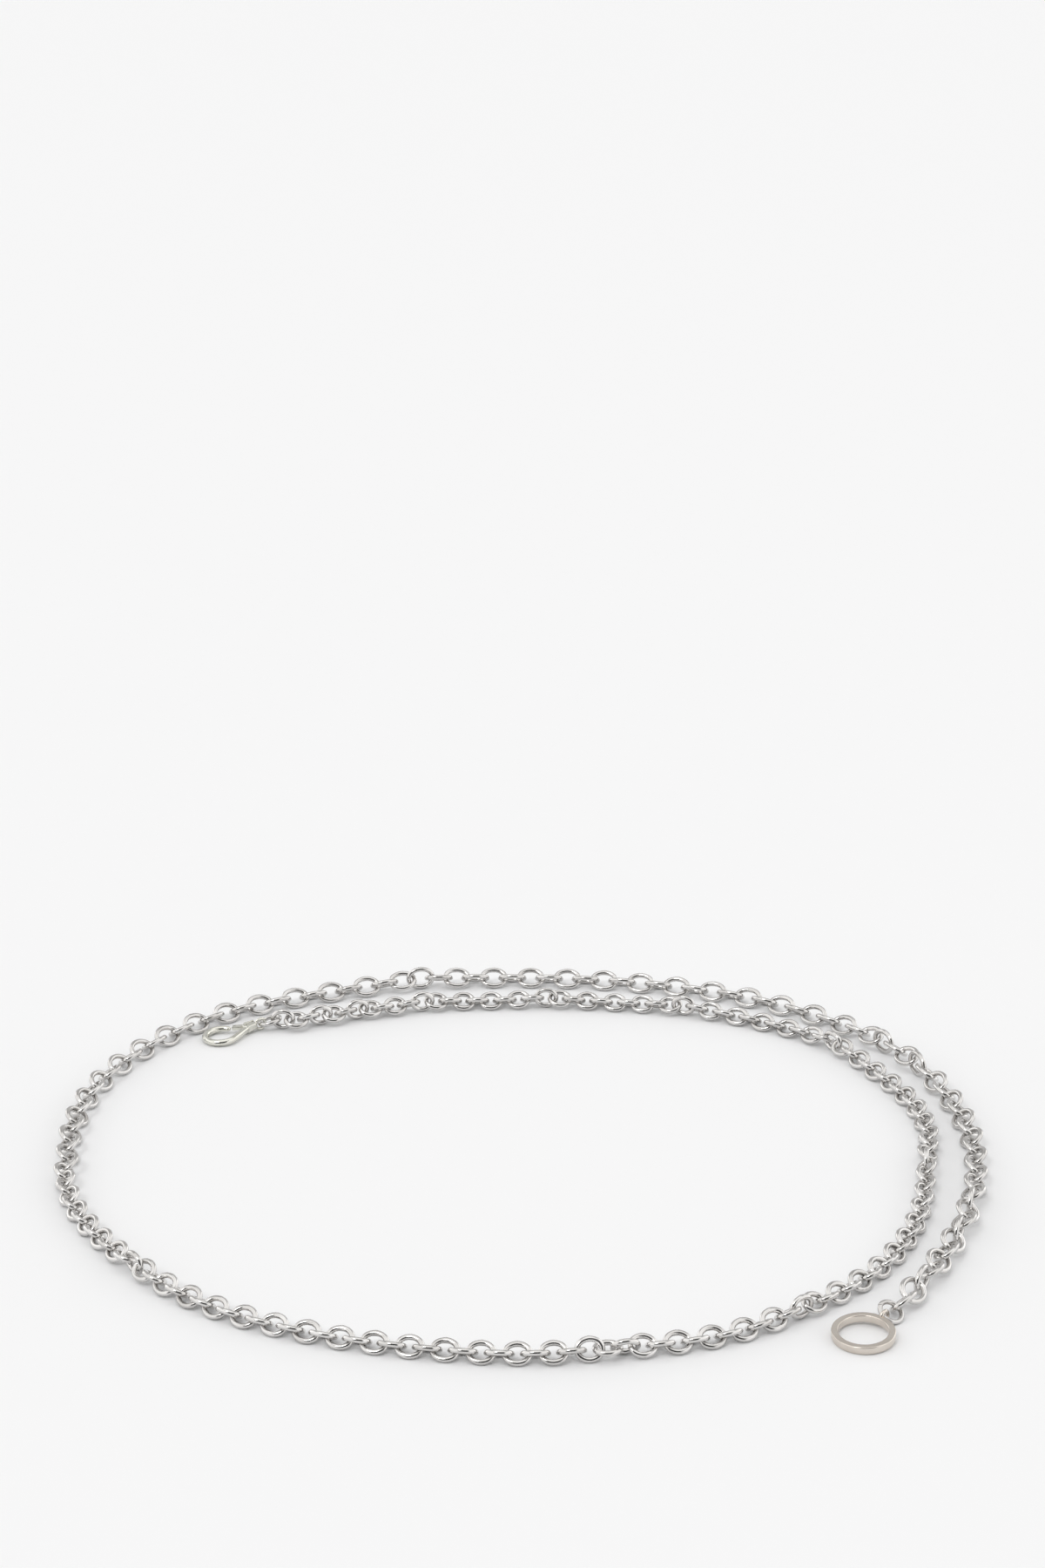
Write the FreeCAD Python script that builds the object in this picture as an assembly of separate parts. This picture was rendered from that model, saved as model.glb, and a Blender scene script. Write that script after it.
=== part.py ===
import FreeCAD, Part
import math
import os

from FreeCAD import Matrix, Placement, Rotation, Vector

# Waist chain: two runs of oval links in one length, laid on a flat surface in a double loop.
# One end has a lobster clasp, the other a plain ring pendant on a jump ring.
# Millimetres, +Z up, X to the right and Y away from the viewer.
# The origin is on the surface, under the middle of the laid-out chain.

# Links
WIRE = 1.45
SMALL_LENGTH = 7.7
SMALL_WIDTH = 6.5
LARGE_LENGTH = 9.1
LARGE_WIDTH = 7.4
LIE_ROLL = 34.0
SMOOTHING_ROUNDS = 12

# Jump ring of the pendant
JUMP_WIRE = 1.25
JUMP_OUTER = 7.2
JUMP_ROLL = -29.5
JUMP_X = 91.0
JUMP_Y = -92.75

# Pendant, a closed ring with flat sides and an upright loop on its rim
PENDANT_X = 83.25
PENDANT_Y = -101.75
PENDANT_OUTER = 15.8
PENDANT_BAND = 1.7
PENDANT_THICK = 2.0
PENDANT_EDGE = 0.25
LOOP_RADIUS = 1.5
LOOP_WIRE = 1.0
LOOP_REACH = 9.0

# Where the middle of the route tables lies from the origin, so the origin is under the chain's middle
SHIFT_X = 0.59
SHIFT_Y = 0.5

# Clasp
CLASP_X = -91.1
CLASP_Y = 70.5
CLASP_HEADING = 31.9
HOOK_RADIUS = 4.75
HOOK_WIRE = 2.0
HOOK_NOSE_ANGLE = 38.0
HOOK_SPINE_ANGLE = 300.0
SPINE_LENGTH = 7.0
EYE_REACH = 13.3
EYE_RADIUS = 1.6
EYE_WIRE = 0.95
CHEEK_X = 8.8
CHEEK_RADIUS = 1.5
TAIL_X = 11.3
TAIL_RADIUS = 0.85
CHEEK_THICK = 2.4
CHEEK_EDGE = 0.35
SLOT_WIDTH = 1.3
SLOT_START = 6.0
SLOT_END = 10.5
SLOT_FLOOR = -0.65

# Clasp lever
PIVOT_X = 8.9
PIVOT_Y = 0.3
PIN_RADIUS = 0.4
PIN_CLEARANCE = 0.05
LEVER_THICK = 1.1
BARREL_RADIUS = 0.85
ARM_WIDTH = 1.0
ARM_NOSE_GAP = 0.15
TAB_ANGLE = 48.0
TAB_REACH = 2.1
TAB_LENGTH = 2.4
TAB_WIDTH = 0.6
TAB_THICK = 2.0

# Where the chain lies: link number, x, y. The two runs count from where they meet.
SMALL_ROUTE = [
    (-3, -124.5, -19.9),
    (1, -119.6, -36.9),
    (6, -109.2, -56.2),
    (12, -92.9, -76.8),
    (18, -72.4, -93.0),
    (24, -48.5, -103.6),
    (30, -23.0, -109.9),
    (36, 3.1, -112.5),
    (42, 29.1, -109.4),
    (48, 54.1, -101.4),
    (54, 75.7, -86.8),
    (60, 93.3, -67.4),
    (65, 103.0, -47.8),
    (69, 107.7, -30.9),
    (73, 110.6, -13.6),
    (77, 113.4, 3.2),
    (81, 112.3, 19.6),
    (87, 103.5, 44.0),
    (93, 90.2, 65.6),
    (99, 69.5, 80.5),
    (105, 45.5, 89.6),
    (111, 20.1, 93.7),
    (117, -5.5, 94.1),
    (122, -26.7, 92.3),
    (126, -43.2, 87.7),
    (127, -46.8, 86.6),
    (128, -50.7, 85.6),
    (129, -54.2, 83.7),
    (130, -57.8, 82.1),
    (131, -61.7, 81.4),
    (132, -65.3, 79.8),
    (133, -68.9, 77.7),
    (134, -73.0, 78.3),
    (135, -77.0, 78.5),
]
LARGE_ROUTE = [
    (-1, -124.4, -14.7),
    (3, -126.3, 8.4),
    (7, -124.0, 31.5),
    (12, -113.4, 58.5),
    (18, -90.8, 84.6),
    (24, -59.8, 100.1),
    (30, -26.4, 109.4),
    (36, 8.4, 110.9),
    (42, 42.7, 105.8),
    (48, 75.1, 93.3),
    (54, 101.3, 70.8),
    (60, 118.1, 40.7),
    (66, 125.0, 6.8),
    (70, 123.8, -16.2),
    (74, 119.0, -38.3),
    (77, 113.5, -54.2),
    (80, 106.1, -69.5),
    (84, 94.5, -89.3),
]

# Where the chain is twisted: link number, roll about its length in degrees from lying flat.
# Between these, links lean by LIE_ROLL to alternate sides.
SMALL_TWISTS = [
    (9, -28), (10, -88), (11, 34),
    (39, 59), (40, 0), (41, -59), (42, 34),
    (52, 88), (53, 28), (54, -34),
    (73, 88), (74, 28), (75, -34),
    (92, 88), (93, 28), (94, -34),
    (104, -88), (105, -28), (106, 34),
    (113, -28), (114, -88), (115, 34),
    (122, -28), (123, -88), (124, 34),
    (127, -28), (128, -88), (129, 34),
    (130, -28), (131, -88), (132, 34),
    (133, -25), (134, -90), (135, 5),
]
LARGE_TWISTS = [
    (28, 28), (29, 88), (30, -28), (31, 34),
    (55, 28), (56, 88), (57, -34),
    (58, 28), (59, 88), (60, -34),
    (73, 28), (74, 88), (75, -34),
    (76, 29), (77, 90), (78, -34), (79, 34), (80, -34),
    (81, 29), (82, 90), (83, -34), (84, 45),
]

UP = Vector(0, 0, 1)


def route_slope(route, row):
    """Step of the route per link at one of its rows, from the rows on both sides."""
    inner = min(max(row, 1), len(route) - 2)
    back = route[inner][0] - route[inner - 1][0]
    ahead = route[inner + 1][0] - route[inner][0]
    points = [Vector(x, y, 0) for _, x, y in route[inner - 1:inner + 2]]
    slope = (points[1] - points[0]) * (ahead / back) + (points[2] - points[1]) * (back / ahead)
    slope = slope * (1 / (back + ahead))
    if row < inner:
        return (points[1] - points[0]) * (2 / back) - slope
    if row > inner:
        return (points[2] - points[1]) * (2 / ahead) - slope
    return slope


def route_point(route, number):
    """Where the link of this number lies, on a smooth curve through the route's rows."""
    row = 0
    while row < len(route) - 2 and number > route[row + 1][0]:
        row += 1
    first, x1, y1 = route[row]
    last, x2, y2 = route[row + 1]
    span = last - first
    t = (number - first) / span
    return (Vector(x1, y1, 0) * (2 * t**3 - 3 * t**2 + 1)
            + route_slope(route, row) * (span * (t**3 - 2 * t**2 + t))
            + Vector(x2, y2, 0) * (3 * t**2 - 2 * t**3)
            + route_slope(route, row + 1) * (span * (t**3 - t**2)))


def link_rolls(numbers, twists):
    """Roll of each link, in degrees: the twists' own, else leaning the other way from the link before."""
    given = dict(twists)
    rolls = []
    for number in numbers:
        if number in given:
            rolls.append(given[number])
        elif rolls:
            rolls.append(-LIE_ROLL if rolls[-1] > 0 else LIE_ROLL)
        else:
            rolls.append(-LIE_ROLL)
    return rolls


def resting_heights(rolls, end_radius, before, after):
    """Height of each link's middle: on the surface by its roll, and held up by its neighbours."""
    rest = [end_radius * abs(math.sin(math.radians(roll))) + WIRE / 2 for roll in rolls]
    heights = list(rest)
    for _ in range(SMOOTHING_ROUNDS):
        row = [before] + heights + [after]
        mean = [row[k] / 4 + row[k + 1] / 2 + row[k + 2] / 4 for k in range(len(rest))]
        heights = [max(low, high) for low, high in zip(rest, mean)]
    return heights


def axes(along, roll):
    """Long and wide direction of a link that points along the chain and is rolled about it."""
    along = Vector(along).normalize()
    side = UP.cross(along).normalize()
    lift = along.cross(side)
    angle = math.radians(roll)
    return along, side * math.cos(angle) + lift * math.sin(angle)


def pose(middle, along, wide):
    """Placement that takes a piece's own X, Y and origin to these directions and this point."""
    normal = along.cross(wide)
    return Placement(Matrix(along.x, wide.x, normal.x, middle.x,
                            along.y, wide.y, normal.y, middle.y,
                            along.z, wide.z, normal.z, middle.z,
                            0, 0, 0, 1))


def placed(shape, placement):
    moved = shape.copy()
    moved.Placement = placement.multiply(shape.Placement)
    return moved


def oval_link(length, width):
    """One link, long along X and wide along Y: round wire bent to two half circles and two short sides."""
    radius = (width - WIRE) / 2
    half = (length - width) / 2
    corners = [Vector(-half, -radius, 0), Vector(half, -radius, 0),
               Vector(half, radius, 0), Vector(-half, radius, 0)]
    path = Part.Wire([
        Part.LineSegment(corners[0], corners[1]).toShape(),
        Part.Arc(corners[1], Vector(half + radius, 0, 0), corners[2]).toShape(),
        Part.LineSegment(corners[2], corners[3]).toShape(),
        Part.Arc(corners[3], Vector(-half - radius, 0, 0), corners[0]).toShape(),
    ])
    section = Part.Wire(Part.makeCircle(WIRE / 2, corners[0], Vector(1, 0, 0)))
    return path.makePipeShell([section], True, False)


def chain_run(route, twists, length, width, before, after):
    """All links of one run, from the point before it to the middle of the piece after it."""
    numbers = range(route[0][0], route[-1][0] + 1)
    end_radius = (width - WIRE) / 2
    half = (length - width) / 2
    rolls = link_rolls(numbers, twists)
    heights = resting_heights(rolls, end_radius, before.z, after.z)
    middles = [route_point(route, number) + UP * height for number, height in zip(numbers, heights)]
    stops = [before] + middles + [after]
    link = oval_link(length, width)
    links = []
    for k, (middle, roll) in enumerate(zip(middles, rolls)):
        aim = stops[k] if k < len(rolls) - 1 else middle
        along, wide = axes(stops[k + 2] - aim, roll)
        reach_down = half * abs(along.z) + end_radius * math.hypot(along.z, wide.z) + WIRE / 2
        lifted = Vector(middle.x, middle.y, max(middle.z, reach_down))
        links.append(placed(link, pose(lifted, along, wide)))
    return links


def plate(x1, radius1, x2, radius2, thick):
    """Flat plate round two circles on the X axis, with straight sides that touch both."""
    angle = math.acos((radius1 - radius2) / (x2 - x1))
    cos_a, sin_a = math.cos(angle), math.sin(angle)
    low1 = Vector(x1 + radius1 * cos_a, -radius1 * sin_a, -thick / 2)
    low2 = Vector(x2 + radius2 * cos_a, -radius2 * sin_a, -thick / 2)
    high1 = Vector(low1.x, -low1.y, low1.z)
    high2 = Vector(low2.x, -low2.y, low2.z)
    outline = Part.Wire([
        Part.LineSegment(low1, low2).toShape(),
        Part.Arc(low2, Vector(x2 + radius2, 0, -thick / 2), high2).toShape(),
        Part.LineSegment(high2, high1).toShape(),
        Part.Arc(high1, Vector(x1 - radius1, 0, -thick / 2), low1).toShape(),
    ])
    return Part.Face(outline).extrude(Vector(0, 0, thick))


def bar(start, end, width, thick):
    """Straight bar from one point to another in the XY plane, with round ends."""
    along = end - start
    length = along.Length
    round_bar = plate(0, width / 2, length, width / 2, thick)
    turn = Rotation(Vector(0, 0, 1), math.degrees(math.atan2(along.y, along.x)))
    return placed(round_bar, Placement(start, turn))


def on_circle(radius, degrees):
    angle = math.radians(degrees)
    return Vector(radius * math.cos(angle), radius * math.sin(angle), 0)


def clasp_body():
    """Hook and straight spine of one round rod, cheeks with a slot and a pin, and an upright tail eye."""
    rod = HOOK_WIRE / 2
    nose = on_circle(HOOK_RADIUS, HOOK_NOSE_ANGLE)
    spine_start = on_circle(HOOK_RADIUS, HOOK_SPINE_ANGLE)
    spine_along = on_circle(1, HOOK_SPINE_ANGLE + 90)
    sweep = HOOK_SPINE_ANGLE - HOOK_NOSE_ANGLE
    hook = Part.makeTorus(HOOK_RADIUS, rod, Vector(), UP, -180, 180, sweep)
    hook.rotate(Vector(), UP, HOOK_NOSE_ANGLE)
    spine = Part.makeCylinder(rod, SPINE_LENGTH, spine_start, spine_along)
    tip = Part.makeSphere(rod, nose)
    cheeks = plate(CHEEK_X, CHEEK_RADIUS, TAIL_X, TAIL_RADIUS, CHEEK_THICK)
    rims = [edge for edge in cheeks.Edges if abs(abs(edge.CenterOfMass.z) - CHEEK_THICK / 2) < 1e-6]
    cheeks = cheeks.makeFillet(CHEEK_EDGE, rims)
    eye = Part.makeTorus(EYE_RADIUS, EYE_WIRE / 2, Vector(EYE_REACH, 0, 0), Vector(0, 1, 0))
    slot_corner = Vector(SLOT_START, SLOT_FLOOR, -SLOT_WIDTH / 2)
    slot = Part.makeBox(SLOT_END - SLOT_START, 4, SLOT_WIDTH, slot_corner)
    pin_foot = Vector(PIVOT_X, PIVOT_Y, -SLOT_WIDTH / 2 - 0.2)
    pin = Part.makeCylinder(PIN_RADIUS, SLOT_WIDTH + 0.4, pin_foot, UP)
    body = spine.multiFuse([cheeks]).cut(slot)
    return body.multiFuse([hook, tip, eye, pin]).removeSplitter()


def clasp_lever():
    """Gate from the pin to the hook's nose, with a thumb tab on the outer side."""
    pivot = Vector(PIVOT_X, PIVOT_Y, 0)
    nose = on_circle(HOOK_RADIUS, HOOK_NOSE_ANGLE)
    gate = nose - pivot
    gate_length = gate.Length - HOOK_WIRE / 2 - ARM_NOSE_GAP - ARM_WIDTH / 2
    gate_end = pivot + Vector(gate).normalize() * gate_length
    barrel = Part.makeCylinder(BARREL_RADIUS, LEVER_THICK, pivot - UP * (LEVER_THICK / 2), UP)
    arm = bar(pivot, gate_end, ARM_WIDTH, LEVER_THICK)
    tab_root = pivot + on_circle(TAB_REACH, TAB_ANGLE)
    neck = bar(pivot, tab_root, ARM_WIDTH, LEVER_THICK)
    reach = Vector(TAB_LENGTH / 2, 0, 0)
    tab = bar(tab_root - reach, tab_root + reach, TAB_WIDTH, TAB_THICK)
    bore = Part.makeCylinder(PIN_RADIUS + PIN_CLEARANCE, TAB_THICK, pivot - UP * (TAB_THICK / 2), UP)
    return barrel.multiFuse([arm, neck, tab]).cut(bore).removeSplitter()


def clasp_placement():
    """The clasp lies on the far side of its hook and on its tail eye, so its tail is a little higher."""
    rod = HOOK_WIRE / 2
    eye_height = EYE_RADIUS + EYE_WIRE / 2
    tilt = math.asin((eye_height - rod) / (EYE_REACH + HOOK_RADIUS))
    height = rod + HOOK_RADIUS * math.sin(tilt)
    turn = Rotation(UP, CLASP_HEADING).multiply(Rotation(Vector(0, 1, 0), -math.degrees(tilt)))
    return Placement(Vector(CLASP_X, CLASP_Y, height), turn)


def pendant_ring():
    """Flat-sided closed ring with an upright loop on its rim, on the +X side."""
    bore = PENDANT_OUTER / 2 - PENDANT_BAND
    outer = Part.makeCylinder(PENDANT_OUTER / 2, PENDANT_THICK, Vector(0, 0, -PENDANT_THICK / 2))
    inner = Part.makeCylinder(bore, PENDANT_THICK, Vector(0, 0, -PENDANT_THICK / 2))
    band = outer.cut(inner)
    face_height = PENDANT_THICK / 2
    rims = [edge for edge in band.Edges
            if edge.Closed and abs(abs(edge.CenterOfMass.z) - face_height) < 1e-6]
    band = band.makeFillet(PENDANT_EDGE, rims)
    loop = Part.makeTorus(LOOP_RADIUS, LOOP_WIRE / 2, Vector(LOOP_REACH, 0, 0), Vector(0, 1, 0))
    hollow = Part.makeCylinder(bore, 3 * PENDANT_THICK, Vector(0, 0, -1.5 * PENDANT_THICK))
    return band.fuse(loop.cut(hollow)).removeSplitter()


def pendant_placement():
    """The pendant lies on its far rim and on its loop, so the loop's side is a little higher."""
    loop_height = LOOP_RADIUS + LOOP_WIRE / 2
    tilt = math.asin((loop_height - PENDANT_THICK / 2) / (LOOP_REACH + PENDANT_OUTER / 2))
    height = PENDANT_THICK / 2 + PENDANT_OUTER / 2 * math.sin(tilt)
    heading = math.degrees(math.atan2(JUMP_Y - PENDANT_Y, JUMP_X - PENDANT_X))
    turn = Rotation(UP, heading).multiply(Rotation(Vector(0, 1, 0), -math.degrees(tilt)))
    return Placement(Vector(PENDANT_X, PENDANT_Y, height), turn)


def jump_ring(link, loop):
    """Round wire ring from the last large link to the pendant's loop, leaning on the surface."""
    radius = (JUMP_OUTER - JUMP_WIRE) / 2
    along, wide = axes(Vector(loop.x - link.x, loop.y - link.y, 0), JUMP_ROLL)
    height = radius * abs(wide.z) + JUMP_WIRE / 2
    ring = Part.makeTorus(radius, JUMP_WIRE / 2)
    return placed(ring, pose(Vector(JUMP_X, JUMP_Y, height), along, wide))


def main():
    clasp = clasp_placement()
    pendant = pendant_placement()
    eye_middle = clasp.multVec(Vector(EYE_REACH, 0, 0))
    loop_middle = pendant.multVec(Vector(LOOP_REACH, 0, 0))
    small_start = Vector(*SMALL_ROUTE[0][1:], SMALL_WIDTH * 0.4)
    large_start = Vector(*LARGE_ROUTE[0][1:], LARGE_WIDTH * 0.4)
    large_end = Vector(*LARGE_ROUTE[-1][1:], 0)
    ring = jump_ring(large_end, loop_middle)

    small = chain_run(SMALL_ROUTE, SMALL_TWISTS, SMALL_LENGTH, SMALL_WIDTH,
                      large_start, eye_middle)
    large = chain_run(LARGE_ROUTE, LARGE_TWISTS, LARGE_LENGTH, LARGE_WIDTH,
                      small_start, ring.Placement.Base)
    nodes = {
        "chain_small_links": Part.makeCompound(small),
        "chain_large_links": Part.makeCompound(large),
        "clasp_body": placed(clasp_body(), clasp),
        "clasp_lever": placed(clasp_lever(), clasp),
        "pendant_jump_ring": ring,
        "pendant_ring": placed(pendant_ring(), pendant),
    }
    os.makedirs("parts", exist_ok=True)
    for name, shape in nodes.items():
        shape = placed(shape, Placement(Vector(SHIFT_X, SHIFT_Y, 0), Rotation()))
        shape.exportStep("parts/" + name + ".step")
        box = shape.BoundBox
        print(name, len(shape.Solids), "solids", round(shape.Volume, 1), "mm3, box",
              [round(value, 2) for value in (box.XMin, box.YMin, box.ZMin, box.XMax, box.YMax, box.ZMax)])
    return nodes


main()
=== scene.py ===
import math

import bpy
from mathutils import Matrix, Vector


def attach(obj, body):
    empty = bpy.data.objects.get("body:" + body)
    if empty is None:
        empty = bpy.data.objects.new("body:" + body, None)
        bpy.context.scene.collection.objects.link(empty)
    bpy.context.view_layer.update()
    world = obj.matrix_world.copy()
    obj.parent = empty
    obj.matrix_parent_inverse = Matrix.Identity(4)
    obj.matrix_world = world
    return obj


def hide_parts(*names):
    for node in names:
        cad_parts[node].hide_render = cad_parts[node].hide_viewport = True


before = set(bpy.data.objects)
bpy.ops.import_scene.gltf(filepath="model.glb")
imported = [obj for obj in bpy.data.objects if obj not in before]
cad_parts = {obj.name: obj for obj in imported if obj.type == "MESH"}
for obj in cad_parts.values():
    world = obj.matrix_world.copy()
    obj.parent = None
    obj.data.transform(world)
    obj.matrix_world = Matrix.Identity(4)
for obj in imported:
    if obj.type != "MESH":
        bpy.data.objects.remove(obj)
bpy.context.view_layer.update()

# The waist chain's looks: two runs of links, the clasp, the jump ring and the ring pendant.
# Lengths are in metres, so sizes in millimetres are written times MM. Angles are in degrees.
MM = 0.001
UP = Vector((0, 0, 1))

# Links
WIRE = 1.45 * MM
SMALL_LENGTH = 7.7 * MM
SMALL_WIDTH = 6.5 * MM
LARGE_LENGTH = 9.1 * MM
LARGE_WIDTH = 7.4 * MM
LIE_ROLL = 34.0
SMOOTHING_ROUNDS = 12
LINK_STEPS = 28
WIRE_SIDES = 10
SEAM_SWELL = 1.06
TONE_STEP = 0.618

# Where the middle of the route tables lies from the origin
SHIFT = Vector((0.59, 0.5, 0)) * MM

# Jump ring of the pendant
JUMP_WIRE = 1.25 * MM
JUMP_OUTER = 7.2 * MM
JUMP_ROLL = -29.5
JUMP_PLACE = (91.0, -92.75)
JUMP_CUT_ANGLE = 295.0
JUMP_CUT = 8.0
JUMP_OFFSET = 0.22 * MM
JUMP_END_STEPS = 8
JUMP_STEP = 4.0
JUMP_END_EDGE = 0.12 * MM

# Pendant
PENDANT_PLACE = (83.25, -101.75)
PENDANT_OUTER = 15.8 * MM
PENDANT_BAND = 1.7 * MM
PENDANT_THICK = 2.0 * MM
PENDANT_EDGE = 0.25 * MM
LOOP_RADIUS = 1.5 * MM
LOOP_WIRE = 1.0 * MM
LOOP_REACH = 9.0 * MM

# Clasp
CLASP_PLACE = (-91.1, 70.5)
CLASP_HEADING = 31.9
HOOK_RADIUS = 4.75 * MM
HOOK_WIRE = 2.0 * MM
HOOK_NOSE_ANGLE = 37.5
HOOK_SPINE_ANGLE = 300.0
HOOK_STEPS = 48
HOOK_SIDES = 20
NOSE_STEPS = 6
NOSE_THINNING = 0.80
NOSE_BULGE = 1.1
SPINE_LENGTH = 7.0 * MM
SPINE_PARTS = (0.4, 0.3, 0.3)
EYE_REACH = 13.3 * MM
EYE_RADIUS = 1.6 * MM
EYE_WIRE = 0.95 * MM
CHEEK_X = 8.8 * MM
CHEEK_RADIUS = 1.5 * MM
TAIL_X = 11.3 * MM
TAIL_RADIUS = 0.85 * MM
CHEEK_THICK = 2.4 * MM
CHEEK_EDGE = 0.35 * MM
TAIL_THINNING = 0.9
SLOT_WIDTH = 1.3 * MM
SLOT_START = 6.0 * MM
SLOT_END = 10.5 * MM
SLOT_FLOOR = -0.65 * MM
SLOT_HEIGHT = 4.0 * MM
CAST_GRAIN = 0.09 * MM
CAST_SMOOTHING = 10

# Clasp lever
PIVOT = Vector((8.9, 0.3, 0)) * MM
PIN_RADIUS = 0.4 * MM
HEAD_RADIUS = PIN_RADIUS * 1.4
HEAD_HEIGHT = 0.16 * MM
HEAD_LIFT = 0.02 * MM
HEAD_RIM = 0.12 * MM
HEAD_CROWN = 0.05 * MM
LEVER_THICK = 1.1 * MM
LEVER_EDGE = 0.08 * MM
GATE_TAPER = 0.8
BARREL_RADIUS = 0.85 * MM
NOSE_GAP = 0.15 * MM
TAB_ANGLE = 48.0
TAB_REACH = 2.1 * MM
TAB_LENGTH = 2.8 * MM
TAB_WIDTH = 0.6 * MM
TAB_THICK = 2.0 * MM
TAB_EDGE = 0.2 * MM
TAB_PAD_RIM = 0.2 * MM
TAB_PAD_LIFT = 0.06 * MM

# Where the chain lies, in millimetres: link number, x, y
SMALL_ROUTE = [
    (-3, -124.5, -19.9),
    (1, -119.6, -36.9),
    (6, -109.2, -56.2),
    (12, -92.9, -76.8),
    (18, -72.4, -93.0),
    (24, -48.5, -103.6),
    (30, -23.0, -109.9),
    (36, 3.1, -112.5),
    (42, 29.1, -109.4),
    (48, 54.1, -101.4),
    (54, 75.7, -86.8),
    (60, 93.3, -67.4),
    (65, 103.0, -47.8),
    (69, 107.7, -30.9),
    (73, 110.6, -13.6),
    (77, 113.4, 3.2),
    (81, 112.3, 19.6),
    (87, 103.5, 44.0),
    (93, 90.2, 65.6),
    (99, 69.5, 80.5),
    (105, 45.5, 89.6),
    (111, 20.1, 93.7),
    (117, -5.5, 94.1),
    (122, -26.7, 92.3),
    (126, -43.2, 87.7),
    (127, -46.8, 86.6),
    (128, -50.7, 85.6),
    (129, -54.2, 83.7),
    (130, -57.8, 82.1),
    (131, -61.7, 81.4),
    (132, -65.3, 79.8),
    (133, -68.9, 77.7),
    (134, -73.0, 78.3),
    (135, -77.0, 78.5),
]
LARGE_ROUTE = [
    (-1, -124.4, -14.7),
    (3, -126.3, 8.4),
    (7, -124.0, 31.5),
    (12, -113.4, 58.5),
    (18, -90.8, 84.6),
    (24, -59.8, 100.1),
    (30, -26.4, 109.4),
    (36, 8.4, 110.9),
    (42, 42.7, 105.8),
    (48, 75.1, 93.3),
    (54, 101.3, 70.8),
    (60, 118.1, 40.7),
    (66, 125.0, 6.8),
    (70, 123.8, -16.2),
    (74, 119.0, -38.3),
    (77, 113.5, -54.2),
    (80, 106.1, -69.5),
    (84, 94.5, -89.3),
]

# Where the chain is twisted: link number, roll about its length in degrees from lying flat
SMALL_TWISTS = [
    (9, -28), (10, -88), (11, 34),
    (39, 59), (40, 0), (41, -59), (42, 34),
    (52, 88), (53, 28), (54, -34),
    (73, 88), (74, 28), (75, -34),
    (92, 88), (93, 28), (94, -34),
    (104, -88), (105, -28), (106, 34),
    (113, -28), (114, -88), (115, 34),
    (122, -28), (123, -88), (124, 34),
    (127, -28), (128, -88), (129, 34),
    (130, -28), (131, -88), (132, 34),
    (133, -25), (134, -90), (135, 5),
]
LARGE_TWISTS = [
    (28, 28), (29, 88), (30, -28), (31, 34),
    (55, 28), (56, 88), (57, -34),
    (58, 28), (59, 88), (60, -34),
    (73, 28), (74, 88), (75, -34),
    (76, 29), (77, 90), (78, -34), (79, 34), (80, -34),
    (81, 29), (82, 90), (83, -34), (84, 45),
]

# Camera
CAMERA_BACK = 697.0 * MM
CAMERA_HEIGHT = 357.05 * MM
CAMERA_DOWN = 19.708
CAMERA_LENS = 64.0

# Light: how bright the ceiling, the far wall, the side panels, the rest of the room and the lamp are
CEILING_LEVEL = 1.15
WALL_LEVEL = 0.55
SIDE_LEVEL = 1.15
ROOM_LEVEL = 0.07
LAMP_LEVEL = 0.5
LAMP_TILT = (30, -25)
LAMP_SPREAD = 20

# Where each panel begins and where it is at its brightest, as the part of a direction along its axis
CEILING_EDGE = (0.76, 0.90)
WALL_EDGE = (0.30, 0.75)
SIDE_EDGE = (0.42, 0.68)

# Floor
FLOOR_SIZE = 80.0
FLOOR_TONE = (0.897, 0.900, 0.909, 1)

# Finishes: light tone, dark tone, roughness, size of the finest grain in metres
STEEL = {
    "light": (0.76, 0.75, 0.74), "dark": (0.54, 0.525, 0.51),
    "roughness": 0.12, "grain": 0.16 * MM,
}
CLASP_STEEL = {
    "light": (0.84, 0.84, 0.79), "dark": (0.66, 0.65, 0.58),
    "roughness": 0.16, "grain": 0.22 * MM,
}
NICKEL = {
    "light": (0.80, 0.75, 0.69), "dark": (0.66, 0.60, 0.54),
    "roughness": 0.16, "grain": 0.22 * MM,
}
CLOUD_SIZE = 6.0 * MM
SMEAR_SIZE = 1.6 * MM
SCRATCH_SIZE = 4.5 * MM
SCRATCH_STRETCH = 14.0
SMOOTH_ANGLE = math.radians(40)


# Selecting and shaping

def clear_selection():
    bpy.ops.object.select_all(action="DESELECT")


def select_vertices(piece, test):
    """Goes to edit mode with the vertices selected whose place passes the test."""
    bpy.ops.object.mode_set(mode="EDIT")
    bpy.ops.mesh.select_mode(type="VERT")
    bpy.ops.mesh.select_all(action="DESELECT")
    bpy.ops.object.mode_set(mode="OBJECT")
    for vertex in piece.data.vertices:
        vertex.select = test(vertex.co)
    bpy.ops.object.mode_set(mode="EDIT")


def select_faces(piece, test):
    """Goes to edit mode with the faces selected whose middle and normal pass the test."""
    bpy.ops.object.mode_set(mode="EDIT")
    bpy.ops.mesh.select_mode(type="FACE")
    bpy.ops.mesh.select_all(action="DESELECT")
    bpy.ops.object.mode_set(mode="OBJECT")
    for face in piece.data.polygons:
        face.select = test(face.center, face.normal)
    bpy.ops.object.mode_set(mode="EDIT")


def object_mode():
    bpy.ops.object.mode_set(mode="OBJECT")


def draw_out(way):
    """Extrudes the selected faces along a way."""
    bpy.ops.mesh.extrude_region_move(TRANSFORM_OT_translate={"value": way})


def close_open_ends():
    """Fills every open edge loop of the piece in edit mode."""
    bpy.ops.mesh.select_mode(type="EDGE")
    bpy.ops.mesh.select_all(action="SELECT")
    bpy.ops.mesh.region_to_loop()
    bpy.ops.mesh.edge_face_add()


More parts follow.
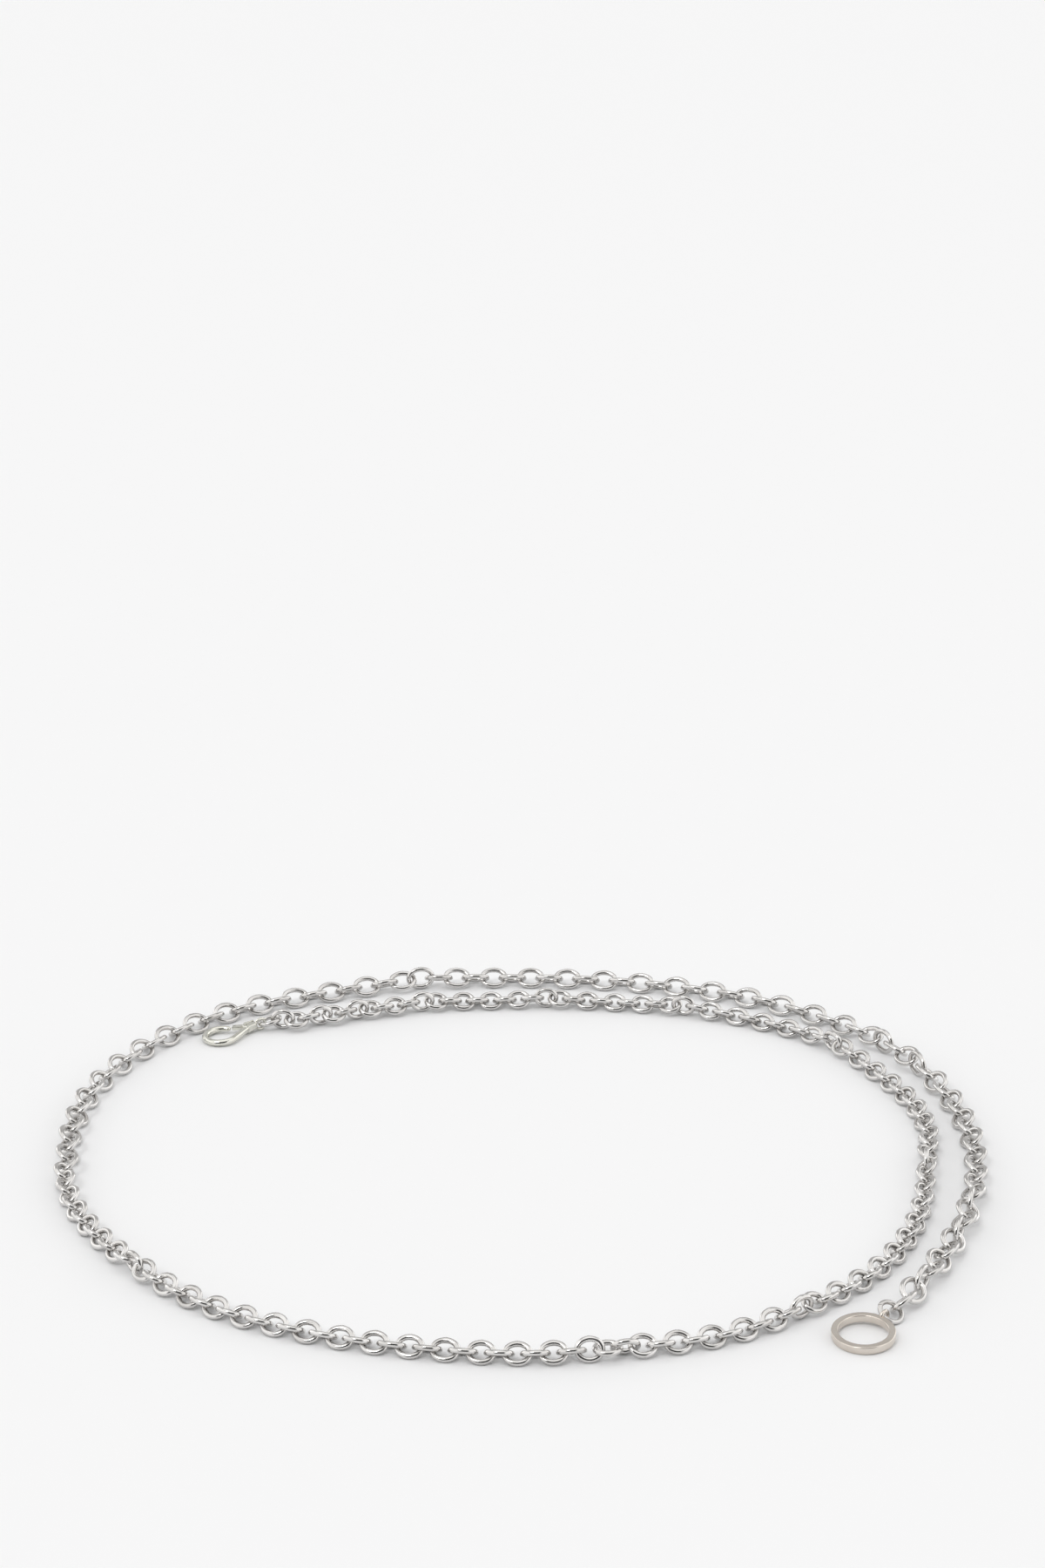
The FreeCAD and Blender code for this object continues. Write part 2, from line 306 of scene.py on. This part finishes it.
def soften(piece, width, segments, **limits):
    """Bevels the sharp edges of a piece."""
    apply_modifier(piece, "BEVEL", width=width, segments=segments, limit_method="ANGLE", **limits)


def settle(piece):
    """Puts an object's place, turn and size into its mesh."""
    clear_selection()
    piece.select_set(True)
    bpy.context.view_layer.objects.active = piece
    bpy.ops.object.transform_apply(location=True, rotation=True, scale=True)


def apply_modifier(piece, kind, **settings):
    bpy.context.view_layer.objects.active = piece
    modifier = piece.modifiers.new(kind.title(), kind)
    for name, value in settings.items():
        setattr(modifier, name, value)
    bpy.ops.object.modifier_apply(modifier=modifier.name)


def cut_with(piece, cutter, operation="DIFFERENCE"):
    """Cuts one piece with another, or unites them, and removes the second."""
    apply_modifier(piece, "BOOLEAN", operation=operation, object=cutter, solver="EXACT")
    bpy.data.objects.remove(cutter)


def join(pieces, name):
    """Joins the pieces into the first of them."""
    clear_selection()
    for piece in pieces:
        piece.select_set(True)
    bpy.context.view_layer.objects.active = pieces[0]
    if len(pieces) > 1:
        bpy.ops.object.join()
    pieces[0].name = name
    pieces[0].data.name = name
    return pieces[0]


def on_circle(radius, degrees, height=0.0):
    angle = math.radians(degrees)
    return Vector((radius * math.cos(angle), radius * math.sin(angle), height))


def angle_of(place):
    """Angle of a place round Z, from 0 to 360 degrees."""
    return math.degrees(math.atan2(place.y, place.x)) % 360


# Laying the chain

def route_slope(route, row):
    """Step of the route per link at one of its rows, from the rows on both sides."""
    inner = min(max(row, 1), len(route) - 2)
    back = route[inner][0] - route[inner - 1][0]
    ahead = route[inner + 1][0] - route[inner][0]
    first, middle, last = [Vector((x, y, 0)) for _, x, y in route[inner - 1:inner + 2]]
    slope = ((middle - first) * (ahead / back) + (last - middle) * (back / ahead)) / (back + ahead)
    if row < inner:
        return (middle - first) * (2 / back) - slope
    if row > inner:
        return (last - middle) * (2 / ahead) - slope
    return slope


def route_point(route, number):
    """Where the link of this number lies, in metres, on a smooth curve through the route's rows."""
    row = 0
    while row < len(route) - 2 and number > route[row + 1][0]:
        row += 1
    first, x1, y1 = route[row]
    last, x2, y2 = route[row + 1]
    span = last - first
    t = (number - first) / span
    point = (Vector((x1, y1, 0)) * (2 * t**3 - 3 * t**2 + 1)
             + route_slope(route, row) * (span * (t**3 - 2 * t**2 + t))
             + Vector((x2, y2, 0)) * (3 * t**2 - 2 * t**3)
             + route_slope(route, row + 1) * (span * (t**3 - t**2)))
    return point * MM


def link_rolls(numbers, twists):
    """Roll of each link, in degrees: the twists' own, else the other way from the link before."""
    given = dict(twists)
    rolls = []
    for number in numbers:
        if number in given:
            rolls.append(given[number])
        elif rolls:
            rolls.append(-LIE_ROLL if rolls[-1] > 0 else LIE_ROLL)
        else:
            rolls.append(-LIE_ROLL)
    return rolls


def resting_heights(rolls, end_radius, before, after):
    """Height of each link's middle: on the surface by its roll, and held up by its neighbours."""
    rest = [end_radius * abs(math.sin(math.radians(roll))) + WIRE / 2 for roll in rolls]
    heights = list(rest)
    for _ in range(SMOOTHING_ROUNDS):
        row = [before] + heights + [after]
        mean = [row[k] / 4 + row[k + 1] / 2 + row[k + 2] / 4 for k in range(len(rest))]
        heights = [max(low, high) for low, high in zip(rest, mean)]
    return heights


def axes(along, roll):
    """Long and wide direction of a link that points along the chain and is rolled about it."""
    along = along.normalized()
    side = UP.cross(along).normalized()
    lift = along.cross(side)
    angle = math.radians(roll)
    return along, side * math.cos(angle) + lift * math.sin(angle)


def pose(middle, along, wide):
    """Matrix that takes a piece's own X, Y and origin to these directions and this point."""
    normal = along.cross(wide)
    turn = Matrix((along, wide, normal)).transposed().to_4x4()
    return Matrix.Translation(middle) @ turn


def run_places(route, twists, length, width, before, after):
    """Where each link of a run goes, from the point before it to the middle of the next piece."""
    numbers = range(route[0][0], route[-1][0] + 1)
    end_radius = (width - WIRE) / 2
    half = (length - width) / 2
    rolls = link_rolls(numbers, twists)
    heights = resting_heights(rolls, end_radius, before.z, after.z)
    middles = [route_point(route, number) + UP * height for number, height in zip(numbers, heights)]
    stops = [before] + middles + [after]
    places = []
    for k, (middle, roll) in enumerate(zip(middles, rolls)):
        aim = stops[k] if k < len(rolls) - 1 else middle
        along, wide = axes(stops[k + 2] - aim, roll)
        reach_down = half * abs(along.z) + end_radius * math.hypot(along.z, wide.z) + WIRE / 2
        lifted = Vector((middle.x, middle.y, max(middle.z, reach_down)))
        places.append(pose(lifted, along, wide))
    return places


def clasp_pose():
    """The clasp lies on its hook's far side and on its tail eye, so its tail is a little higher."""
    tilt = math.asin((EYE_RADIUS + EYE_WIRE / 2 - HOOK_WIRE / 2) / (EYE_REACH + HOOK_RADIUS))
    height = HOOK_WIRE / 2 + HOOK_RADIUS * math.sin(tilt)
    turn = Matrix.Rotation(math.radians(CLASP_HEADING), 4, "Z") @ Matrix.Rotation(-tilt, 4, "Y")
    return Matrix.Translation(Vector((CLASP_PLACE[0] * MM, CLASP_PLACE[1] * MM, height))) @ turn


def pendant_pose():
    """The pendant lies on its far rim and on its loop, so the loop's side is a little higher."""
    rise = LOOP_RADIUS + LOOP_WIRE / 2 - PENDANT_THICK / 2
    tilt = math.asin(rise / (LOOP_REACH + PENDANT_OUTER / 2))
    height = PENDANT_THICK / 2 + PENDANT_OUTER / 2 * math.sin(tilt)
    heading = math.atan2(JUMP_PLACE[1] - PENDANT_PLACE[1], JUMP_PLACE[0] - PENDANT_PLACE[0])
    turn = Matrix.Rotation(heading, 4, "Z") @ Matrix.Rotation(-tilt, 4, "Y")
    return Matrix.Translation(Vector((PENDANT_PLACE[0] * MM, PENDANT_PLACE[1] * MM, height))) @ turn


def jump_pose(link, loop):
    """The jump ring leans on the surface, in line from the last link to the pendant's loop."""
    radius = (JUMP_OUTER - JUMP_WIRE) / 2
    along, wide = axes(Vector((loop.x - link.x, loop.y - link.y, 0)), JUMP_ROLL)
    height = radius * abs(wide.z) + JUMP_WIRE / 2
    return pose(Vector((JUMP_PLACE[0] * MM, JUMP_PLACE[1] * MM, height)), along, wide)


# Pieces

def model_link(length, width):
    """One oval link of round wire: a ring drawn out, with its seam a little swollen on one side."""
    end_radius = (width - WIRE) / 2
    half = (length - width) / 2
    clear_selection()
    bpy.ops.mesh.primitive_torus_add(
        major_radius=end_radius, minor_radius=WIRE / 2,
        major_segments=LINK_STEPS, minor_segments=WIRE_SIDES)
    link = bpy.context.object
    for step in range(LINK_STEPS):
        angle = 360 * step / LINK_STEPS
        select_vertices(link, lambda place: abs((angle_of(place) - angle + 180) % 360 - 180) < 2)
        bpy.ops.transform.translate(value=(half * math.cos(math.radians(angle)), 0, 0))
    select_vertices(link, lambda place: abs(place.x) < 1e-7 and place.y > 0)
    bpy.ops.transform.resize(value=(1, SEAM_SWELL, SEAM_SWELL), center_override=(0, end_radius, 0))
    object_mode()
    bpy.ops.object.shade_smooth()
    return link


def lay_links(name, link, places):
    """Copies a link to each of its places, gives each copy its own tone, and joins them."""
    copies = []
    for number, place in enumerate(places):
        copy = link.copy()
        copy.data = link.data.copy()
        copy.data.transform(place)
        bpy.context.scene.collection.objects.link(copy)
        tone = copy.data.attributes.new("tone", "FLOAT", "POINT")
        for row in tone.data:
            row.value = (number * TONE_STEP) % 1
        copies.append(copy)
    bpy.data.objects.remove(link)
    return join(copies, name)


def model_hook():
    """Hook and spine of the clasp: an open ring, thinner to its nose, drawn out to the cheeks."""
    clear_selection()
    bpy.ops.mesh.primitive_torus_add(
        major_radius=HOOK_RADIUS, minor_radius=HOOK_WIRE / 2,
        major_segments=HOOK_STEPS, minor_segments=HOOK_SIDES)
    hook = bpy.context.object
    gap_middle = (HOOK_SPINE_ANGLE + HOOK_NOSE_ANGLE + 360) / 2 % 360
    gap_half = (HOOK_NOSE_ANGLE + 360 - HOOK_SPINE_ANGLE) / 2

    def in_gap(middle, normal):
        return abs((angle_of(middle) - gap_middle + 180) % 360 - 180) < gap_half

    select_faces(hook, in_gap)
    bpy.ops.mesh.delete(type="FACE")
    close_open_ends()
    object_mode()
    step = 360 / HOOK_STEPS
    for number in range(NOSE_STEPS):
        angle = HOOK_NOSE_ANGLE + number * step
        thinner = NOSE_THINNING + (1 - NOSE_THINNING) * number / NOSE_STEPS
        select_vertices(hook, lambda place: abs(angle_of(place) - angle) < step / 4)
        middle = on_circle(HOOK_RADIUS, angle)
        bpy.ops.transform.resize(value=(thinner,) * 3, center_override=middle)
    along = on_circle(1, HOOK_SPINE_ANGLE + 90)
    spine_start = on_circle(HOOK_RADIUS, HOOK_SPINE_ANGLE)
    select_faces(hook, lambda middle, normal: (middle - spine_start).length < 1e-5)
    for part in SPINE_PARTS:
        draw_out(along * (SPINE_LENGTH * part))
    object_mode()
    return hook


def model_clasp_body():
    """Hook, spine, slotted cheeks and tail eye, melted into one casting, with the pin's heads."""
    hook = model_hook()

    nose_middle = on_circle(HOOK_RADIUS, HOOK_NOSE_ANGLE)
    bpy.ops.mesh.primitive_uv_sphere_add(
        segments=20, ring_count=12, radius=HOOK_WIRE / 2 * NOSE_THINNING, location=nose_middle)
    nose = bpy.context.object
    settle(nose)
    select_faces(nose, lambda middle, normal: True)
    bpy.ops.transform.resize(value=(NOSE_BULGE, 1.0, 1.0), center_override=nose_middle)
    object_mode()

    clear_selection()
    bpy.ops.mesh.primitive_cylinder_add(
        vertices=32, radius=CHEEK_RADIUS, depth=CHEEK_THICK, location=(CHEEK_X, 0, 0))
    cheeks = bpy.context.object
    settle(cheeks)
    select_vertices(cheeks, lambda place: place.x > CHEEK_X + 1e-6)
    narrower = TAIL_RADIUS / CHEEK_RADIUS
    bpy.ops.transform.resize(
        value=(narrower, narrower, TAIL_THINNING), center_override=(CHEEK_X, 0, 0))
    bpy.ops.transform.translate(value=(TAIL_X - CHEEK_X, 0, 0))
    object_mode()
    soften(cheeks, CHEEK_EDGE, 3)

    clear_selection()
    bpy.ops.mesh.primitive_cube_add(
        size=1, location=((SLOT_START + SLOT_END) / 2, SLOT_FLOOR + SLOT_HEIGHT / 2, 0),
        scale=(SLOT_END - SLOT_START, SLOT_HEIGHT, SLOT_WIDTH))
    slot = bpy.context.object
    settle(slot)

    clear_selection()
    bpy.ops.mesh.primitive_torus_add(
        major_radius=EYE_RADIUS, minor_radius=EYE_WIRE / 2, major_segments=32, minor_segments=12,
        location=(EYE_REACH, 0, 0), rotation=(math.radians(90), 0, 0))
    eye = bpy.context.object
    settle(eye)

    cut_with(hook, cheeks, "UNION")
    cut_with(hook, slot)
    body = join([hook, nose, eye], "clasp_body_cast")
    apply_modifier(body, "REMESH", mode="VOXEL", voxel_size=CAST_GRAIN)
    apply_modifier(body, "SMOOTH", factor=0.5, iterations=CAST_SMOOTHING)

    heads = []
    for side in (-1, 1):
        clear_selection()
        bpy.ops.mesh.primitive_cylinder_add(
            vertices=24, radius=HEAD_RADIUS, depth=HEAD_HEIGHT,
            location=PIVOT + UP * (side * (CHEEK_THICK / 2 + HEAD_LIFT)))
        head = bpy.context.object
        settle(head)
        select_faces(head, lambda middle, normal: normal.z * side > 0.9)
        bpy.ops.mesh.inset(thickness=HEAD_RIM)
        bpy.ops.transform.translate(value=(0, 0, side * HEAD_CROWN))
        object_mode()
        heads.append(head)
    body = join([body] + heads, "clasp_body_cast")
    bpy.ops.object.shade_smooth_by_angle(angle=SMOOTH_ANGLE)
    return body


def model_lever():
    """Gate and thumb tab of the clasp, drawn out of one barrel round the pin."""
    gate = on_circle(HOOK_RADIUS, HOOK_NOSE_ANGLE) - PIVOT
    gate_length = gate.length - HOOK_WIRE / 2 - NOSE_GAP
    gate.normalize()
    tab_way = on_circle(1, TAB_ANGLE)

    clear_selection()
    bpy.ops.mesh.primitive_cylinder_add(
        vertices=24, radius=BARREL_RADIUS, depth=LEVER_THICK,
        location=PIVOT, rotation=(0, 0, math.atan2(gate.y, gate.x)))
    lever = bpy.context.object
    settle(lever)

    def facing(way):
        return lambda middle, normal: abs(normal.z) < 0.1 and normal.dot(way) > 0.84

    select_faces(lever, facing(gate))
    draw_out(gate * (gate_length - BARREL_RADIUS))
    bpy.ops.transform.resize(
        value=(GATE_TAPER, GATE_TAPER, 1.0), center_override=PIVOT + gate * gate_length)
    select_faces(lever, facing(tab_way))
    draw_out(tab_way * (TAB_REACH - BARREL_RADIUS - TAB_WIDTH / 2))
    object_mode()

    clear_selection()
    bpy.ops.mesh.primitive_cube_add(
        size=1, location=PIVOT + tab_way * TAB_REACH,
        scale=(TAB_LENGTH + TAB_WIDTH, TAB_WIDTH, TAB_THICK))
    tab = bpy.context.object
    settle(tab)
    select_faces(tab, lambda middle, normal: normal.y > 0.9)
    bpy.ops.mesh.inset(thickness=TAB_PAD_RIM)
    bpy.ops.transform.translate(value=(0, TAB_PAD_LIFT, 0))
    object_mode()
    soften(tab, TAB_EDGE, 3)
    cut_with(lever, tab, "UNION")
    soften(lever, LEVER_EDGE, 2, angle_limit=math.radians(50))
    lever = join([lever], "clasp_lever_gate")
    bpy.ops.object.shade_smooth_by_angle(angle=SMOOTH_ANGLE)
    return lever


def model_jump_ring():
    """Ring of round wire, cut once, with its two ends side by side."""
    radius = (JUMP_OUTER - JUMP_WIRE) / 2
    clear_selection()
    bpy.ops.mesh.primitive_torus_add(
        major_radius=radius, minor_radius=JUMP_WIRE / 2, major_segments=90, minor_segments=16)
    ring = bpy.context.object
    select_faces(ring, lambda middle, normal: abs(angle_of(middle) - JUMP_CUT_ANGLE) < JUMP_CUT / 2)
    bpy.ops.mesh.delete(type="FACE")
    close_open_ends()
    object_mode()
    for side in (-1, 1):
        for number in range(JUMP_END_STEPS):
            near = JUMP_CUT / 2 + JUMP_STEP * (number - 0.5)
            select_vertices(
                ring, lambda place: 0 <= side * (angle_of(place) - JUMP_CUT_ANGLE) - near < JUMP_STEP)
            shift = side * JUMP_OFFSET * (1 - number / JUMP_END_STEPS)
            bpy.ops.transform.translate(value=(0, 0, shift))
    object_mode()
    soften(ring, JUMP_END_EDGE, 2, angle_limit=math.radians(60))
    ring = join([ring], "pendant_jump_ring_wire")
    bpy.ops.object.shade_smooth_by_angle(angle=SMOOTH_ANGLE)
    return ring


def model_pendant():
    """Flat-sided ring with softened edges and a small upright loop soldered to its rim."""
    clear_selection()
    bpy.ops.mesh.primitive_cylinder_add(vertices=128, radius=PENDANT_OUTER / 2, depth=PENDANT_THICK)
    band = bpy.context.object
    select_faces(band, lambda middle, normal: abs(normal.z) > 0.9)
    bpy.ops.mesh.inset(thickness=PENDANT_BAND)
    bpy.ops.mesh.bridge_edge_loops()
    object_mode()
    soften(band, PENDANT_EDGE, 3, angle_limit=math.radians(50))

    clear_selection()
    bpy.ops.mesh.primitive_torus_add(
        major_radius=LOOP_RADIUS, minor_radius=LOOP_WIRE / 2, major_segments=40, minor_segments=16,
        location=(LOOP_REACH, 0, 0), rotation=(math.radians(90), 0, 0))
    loop = bpy.context.object
    settle(loop)
    inner = PENDANT_OUTER / 2 - PENDANT_BAND
    select_faces(loop, lambda middle, normal: middle.x < inner + 0.3 * MM)
    bpy.ops.mesh.delete(type="FACE")
    close_open_ends()
    object_mode()
    cut_with(band, loop, "UNION")
    band = join([band], "pendant_ring_band")
    bpy.ops.object.shade_smooth_by_angle(angle=SMOOTH_ANGLE)
    return band


# Finishes

class Shade:
    """A socket of a material, on which Python's operators add Math nodes."""

    def __init__(self, tree, socket):
        self.tree = tree
        self.socket = socket

    def node(self, kind, settings=None, **inputs):
        """Adds a node of this kind. Its settings are set first, then the sockets that are named."""
        made = self.tree.nodes.new("ShaderNode" + kind)
        for name, value in (settings or {}).items():
            if name == "stops":
                ramp = made.color_ramp
                while len(ramp.elements) < len(value):
                    ramp.elements.new(0.5)
                for stop, (place, colour) in zip(ramp.elements, value):
                    stop.position = place
                    stop.color = colour
            else:
                setattr(made, name, value)
        for name, value in inputs.items():
            numbered = name[0] == "n" and name[1:].isdigit()
            target = made.inputs[int(name[1:]) if numbered else name]
            if isinstance(value, Shade):
                self.tree.links.new(value.socket, target)
            else:
                target.default_value = value
        return made

    def out(self, made, name=0):
        return Shade(self.tree, made.outputs[name])

    def maths(self, operation, *values):
        inputs = {"n" + str(k): value for k, value in enumerate(values)}
        return self.out(self.node("Math", {"operation": operation}, **inputs))

    def __add__(self, other):
        return self.maths("ADD", self, other)

    def __sub__(self, other):
        return self.maths("SUBTRACT", self, other)

    def __mul__(self, other):
        return self.maths("MULTIPLY", self, other)


def metal(name, light, dark, roughness, grain):
    """Polished metal: cloudy tone, faint smears, and fine scratches and grain in its surface."""
    material = bpy.data.materials.new(name)
    material.use_nodes = True
    tree = material.node_tree
    shader = tree.nodes["Principled BSDF"]
    start = Shade(tree, None)
    place = start.out(start.node("TexCoord"), "Object")

    def noise(where, size, detail, roughness):
        return start.out(start.node(
            "TexNoise", Vector=where, Scale=1 / size, Detail=detail, Roughness=roughness), "Fac")

    clouds = noise(place, CLOUD_SIZE, 3.0, 0.55)
    smears = noise(place, SMEAR_SIZE, 4.0, 0.6)
    fine = noise(place, grain, 5.0, 0.65)
    stretched = start.out(start.node(
        "Mapping", Vector=place, Rotation=(0.3, 0.5, 0.9),
        Scale=(1.0, SCRATCH_STRETCH, SCRATCH_STRETCH)), "Vector")
    scratches = noise(stretched, SCRATCH_SIZE, 6.0, 0.7)
    stops = [(0.60, (0, 0, 0, 1)), (0.68, (1, 1, 1, 1))]
    scratched = start.out(start.node("ValToRGB", {"stops": stops}, Fac=scratches), "Color")
    tone = start.out(start.node("Attribute", {"attribute_name": "tone"}), "Fac")
    cloudy = clouds * 1.6 - 0.3 + (tone - 0.5) * 0.25
    blend = start.out(start.node(
        "Mix", {"data_type": "RGBA", "clamp_factor": True},
        Factor=cloudy, n6=dark + (1,), n7=light + (1,)), 2)
    tree.links.new(blend.socket, shader.inputs["Base Color"])
    rough = (smears - 0.5) * 0.16 + roughness + scratched * 0.06
    tree.links.new(rough.socket, shader.inputs["Roughness"])
    relief = fine * 0.5 + scratched * 0.35 + smears * 0.6
    bump = start.out(start.node("Bump", Strength=0.12, Distance=0.03 * MM, Height=relief), "Normal")
    tree.links.new(bump.socket, shader.inputs["Normal"])
    shader.inputs["Metallic"].default_value = 1.0
    return material


def give(piece, material):
    piece.data.materials.clear()
    piece.data.materials.append(material)


# Making the object

steel = metal("polished_chain_steel", **STEEL)
clasp_steel = metal("polished_clasp_metal", **CLASP_STEEL)
nickel = metal("satin_pendant_nickel", **NICKEL)

clasp_place = clasp_pose()
pendant_place = pendant_pose()
eye_middle = clasp_place @ Vector((EYE_REACH, 0, 0))
loop_middle = pendant_place @ Vector((LOOP_REACH, 0, 0))
jump_place = jump_pose(Vector((LARGE_ROUTE[-1][1], LARGE_ROUTE[-1][2], 0)) * MM, loop_middle)
small_start = Vector((SMALL_ROUTE[0][1] * MM, SMALL_ROUTE[0][2] * MM, SMALL_WIDTH * 0.4))
large_start = Vector((LARGE_ROUTE[0][1] * MM, LARGE_ROUTE[0][2] * MM, LARGE_WIDTH * 0.4))

small_places = run_places(SMALL_ROUTE, SMALL_TWISTS, SMALL_LENGTH, SMALL_WIDTH,
                          large_start, eye_middle)
large_places = run_places(LARGE_ROUTE, LARGE_TWISTS, LARGE_LENGTH, LARGE_WIDTH,
                          small_start, jump_place.translation)

small_run = lay_links("chain_small_links_wire", model_link(SMALL_LENGTH, SMALL_WIDTH), small_places)
large_run = lay_links("chain_large_links_wire", model_link(LARGE_LENGTH, LARGE_WIDTH), large_places)
clasp = model_clasp_body()
clasp.data.transform(clasp_place)
lever = model_lever()
lever.data.transform(clasp_place)
jump = model_jump_ring()
jump.data.transform(jump_place)
pendant = model_pendant()
pendant.data.transform(pendant_place)

# piece, its finish, the body it rides on, the node it stands for, the slot of the record
PIECES = [
    (small_run, steel, "chain", "chain_small_links", "chain_steel"),
    (large_run, steel, "chain", "chain_large_links", "chain_steel"),
    (jump, steel, "chain", "pendant_jump_ring", "chain_steel"),
    (clasp, clasp_steel, "chain", "clasp_body", "clasp_steel"),
    (lever, clasp_steel, "lever", "clasp_lever", "clasp_steel"),
    (pendant, nickel, "chain", "pendant_ring", "pendant_steel"),
]
for piece, material, body, node, slot in PIECES:
    piece.data.transform(Matrix.Translation(SHIFT))
    give(piece, material)
    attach(piece, body)
    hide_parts(node)


# Floor, light and camera

def paper_floor():
    """A pale, even floor far wider than the view."""
    clear_selection()
    bpy.ops.mesh.primitive_plane_add(size=FLOOR_SIZE, location=(0, 0, 0))
    floor = bpy.context.object
    floor.name = "paper_floor"
    material = bpy.data.materials.new("pale_paper")
    material.use_nodes = True
    tree = material.node_tree
    start = Shade(tree, None)
    place = start.out(start.node("TexCoord"), "Object")
    fibres = start.out(start.node("TexNoise", Vector=place, Scale=900.0, Detail=3.0), "Fac")
    shader = tree.nodes["Principled BSDF"]
    shader.inputs["Base Color"].default_value = FLOOR_TONE
    tree.links.new((fibres * 0.1 + 0.85).socket, shader.inputs["Roughness"])
    shader.inputs["Specular IOR Level"].default_value = 0.1
    give(floor, material)


def studio_light():
    """A dim room with a bright panel on each side, a bright ceiling, a far wall and a weak lamp."""
    world = bpy.data.worlds.new("studio")
    bpy.context.scene.world = world
    world.use_nodes = True
    tree = world.node_tree
    start = Shade(tree, None)
    way = start.out(start.node("TexCoord"), "Generated")
    split = start.node("SeparateXYZ", Vector=way)
    across = start.out(split, "X")
    ahead = start.out(split, "Y")
    height = start.out(split, "Z")

    def fade(value, edge, level):
        made = start.node(
            "MapRange", {"interpolation_type": "SMOOTHSTEP"},
            Value=value, n1=edge[0], n2=edge[1], n3=0.0, n4=level)
        return start.out(made)

    ceiling = fade(height, CEILING_EDGE, CEILING_LEVEL)
    wall = fade(ahead, WALL_EDGE, WALL_LEVEL)
    sides = fade(start.maths("ABSOLUTE", across), SIDE_EDGE, SIDE_LEVEL)
    glow = ceiling + wall + sides + ROOM_LEVEL
    background = tree.nodes["Background"]
    tree.links.new(glow.socket, background.inputs["Strength"])
    background.inputs["Color"].default_value = (1.0, 0.995, 0.985, 1)
    lamp = bpy.data.lights.new("soft_lamp", "SUN")
    lamp.energy = LAMP_LEVEL
    lamp.angle = math.radians(LAMP_SPREAD)
    holder = bpy.data.objects.new("soft_lamp", lamp)
    holder.rotation_euler = (math.radians(LAMP_TILT[0]), math.radians(LAMP_TILT[1]), 0)
    bpy.context.scene.collection.objects.link(holder)


def photo_camera():
    data = bpy.data.cameras.new("camera")
    data.lens = CAMERA_LENS
    data.sensor_width = 36
    data.clip_start = 0.01
    camera = bpy.data.objects.new("camera", data)
    camera.location = Vector((0, -CAMERA_BACK, CAMERA_HEIGHT)) + SHIFT
    camera.rotation_euler = (math.radians(90 - CAMERA_DOWN), 0, 0)
    bpy.context.scene.collection.objects.link(camera)
    bpy.context.scene.camera = camera


paper_floor()
studio_light()
photo_camera()
bpy.context.scene.view_settings.view_transform = "Standard"
